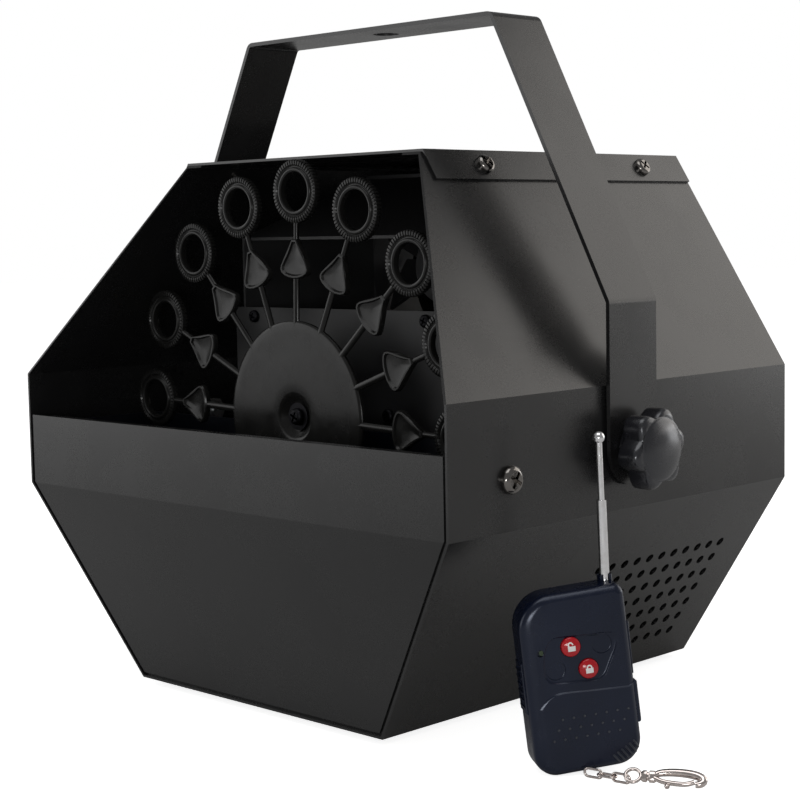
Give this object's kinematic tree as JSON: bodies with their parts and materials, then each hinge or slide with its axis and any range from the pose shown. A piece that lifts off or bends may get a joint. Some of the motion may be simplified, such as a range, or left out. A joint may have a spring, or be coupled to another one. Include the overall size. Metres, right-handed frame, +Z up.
{
  "type": "bubble machine",
  "caption": "Bubble machine: folded casing with an open mouth, turning wand wheel over a fluid tank, fan, tilting handle held by star knobs, and a separate radio remote control.",
  "frame": {"origin": "on the floor, on the casing's plane of symmetry, at the middle of the casing's depth", "axes": "+Z up, the open mouth faces -Y, +X along the handle's pivot axis towards the side where the remote control stands"},
  "size_m": [0.3278, 0.2103, 0.2685],
  "materials": {
    "casing_paint": "fine satin powder coat",
    "inner_paint": "satin powder coat",
    "tank_sheet": "smooth dark enamel",
    "black_plastic": "moulded, slightly glossy",
    "knob_plastic": "moulded, glossy",
    "plated_screw": "bright nickel plate",
    "zinc_steel": "zinc plated",
    "motor_can": "plain can",
    "foot_rubber": "matt",
    "brass_contact": "plated",
    "board_green": "solder resist",
    "part_dark": "moulded cases of parts",
    "coil_tape": "wrapped coil on a laminated core",
    "fuse_glass": "clear",
    "fibre": "pressed fibre",
    "remote_shell": "glossy navy black",
    "button_red": "glossy",
    "led_clear": "tinted lens",
    "aerial_chrome": "polished",
    "cell_wrap": "shrink sleeve"
  },
  "bodies": {
    "casing": {"housing_shell": "casing_paint", "top_cover": "casing_paint", "front_panel": "casing_paint", "rear_panel": "casing_paint", "cover_screws": "plated_screw", "belt_screws": "plated_screw", "slope_screws": "plated_screw", "rear_screws": "plated_screw", "feet": "foot_rubber", "fluid_tank": "tank_sheet", "bulkhead": "inner_paint", "air_duct": "inner_paint", "duct_screws": "plated_screw", "gear_motor": "motor_can", "motor_screws": "plated_screw", "fan_frame": "black_plastic", "fan_screws": "plated_screw", "mains_inlet": "part_dark", "inlet_pins": "brass_contact", "inlet_screws": "plated_screw", "switch_body": "part_dark", "fuse_holder": "part_dark", "glass_fuse": "fuse_glass", "power_board": "board_green", "board_spacers": "zinc_steel", "transformer": "coil_tape", "board_parts": "part_dark", "receiver_board": "board_green", "pivot_washers": "fibre", "pivot_nuts": "zinc_steel"},
    "wheel": {"wand_wheel": "black_plastic", "wheel_shaft": "zinc_steel", "hub_screw": "plated_screw", "hub_washer": "zinc_steel"},
    "fan": {"fan_rotor": "black_plastic"},
    "rocker": {"rocker": "button_red"},
    "fuse_cap": {"fuse_cap": "part_dark"},
    "handle": {"handle_bracket": "casing_paint"},
    "knob_right": {"knob_right": "knob_plastic", "stud_right": "zinc_steel"},
    "knob_left": {"knob_left": "knob_plastic", "stud_left": "zinc_steel"},
    "remote": {"remote_front": "remote_shell", "remote_rear": "remote_shell", "remote_board": "board_green", "remote_battery": "cell_wrap", "remote_led": "led_clear", "key_chain": "aerial_chrome", "key_clasp": "aerial_chrome"},
    "button_on": {"remote_button_on": "button_red"},
    "button_off": {"remote_button_off": "button_red"},
    "aerial_outer": {"aerial_outer": "aerial_chrome"},
    "aerial_inner": {"aerial_inner": "aerial_chrome"}
  },
  "joints": [
    {"name": "wheel_spin", "type": "hinge", "parent": "casing", "child": "wheel", "pos_m": [0, -0.0582, 0.1145], "axis": [0, 1, 0], "continuous": true},
    {"name": "fan_spin", "type": "hinge", "parent": "casing", "child": "fan", "pos_m": [0, 0.036, 0.171], "axis": [0, 1, 0], "continuous": true},
    {"name": "switch_rock", "type": "hinge", "parent": "casing", "child": "rocker", "pos_m": [-0.004, 0.1, 0.058], "axis": [0, 0, 1], "range_deg": [0, 18]},
    {"name": "fuse_cap_turn", "type": "hinge", "parent": "casing", "child": "fuse_cap", "pos_m": [0.032, 0.1015, 0.058], "axis": [0, 1, 0], "range_deg": [0, 90]},
    {"name": "handle_tilt", "type": "hinge", "parent": "casing", "child": "handle", "pos_m": [0, -0.004, 0.106], "axis": [1, 0, 0], "range_deg": [-40, 40]},
    {"name": "knob_right_turn", "type": "hinge", "parent": "casing", "child": "knob_right", "pos_m": [0, -0.004, 0.106], "axis": [1, 0, 0], "range_deg": [0, 360]},
    {"name": "knob_left_turn", "type": "hinge", "parent": "casing", "child": "knob_left", "pos_m": [0, -0.004, 0.106], "axis": [-1, 0, 0], "range_deg": [0, 360]},
    {"name": "remote_lift", "type": "slide", "parent": "casing", "child": "remote", "axis": [0.4472, 0, 0.8944], "range_m": [0, 0.15]},
    {"name": "button_on_press", "type": "slide", "parent": "remote", "child": "button_on", "axis": [-0.809, 0.5878, 0], "range_m": [0, 0.001], "stiffness_N_per_m": 300},
    {"name": "button_off_press", "type": "slide", "parent": "remote", "child": "button_off", "axis": [-0.809, 0.5878, 0], "range_m": [0, 0.001], "stiffness_N_per_m": 300},
    {"name": "aerial_outer_slide", "type": "slide", "parent": "remote", "child": "aerial_outer", "axis": [-0.0205, -0.0282, 0.9994], "range_m": [-0.028, 0]},
    {"name": "aerial_inner_slide", "type": "slide", "parent": "aerial_outer", "child": "aerial_inner", "axis": [-0.0205, -0.0282, 0.9994], "range_m": [-0.018, 0]}
  ]
}
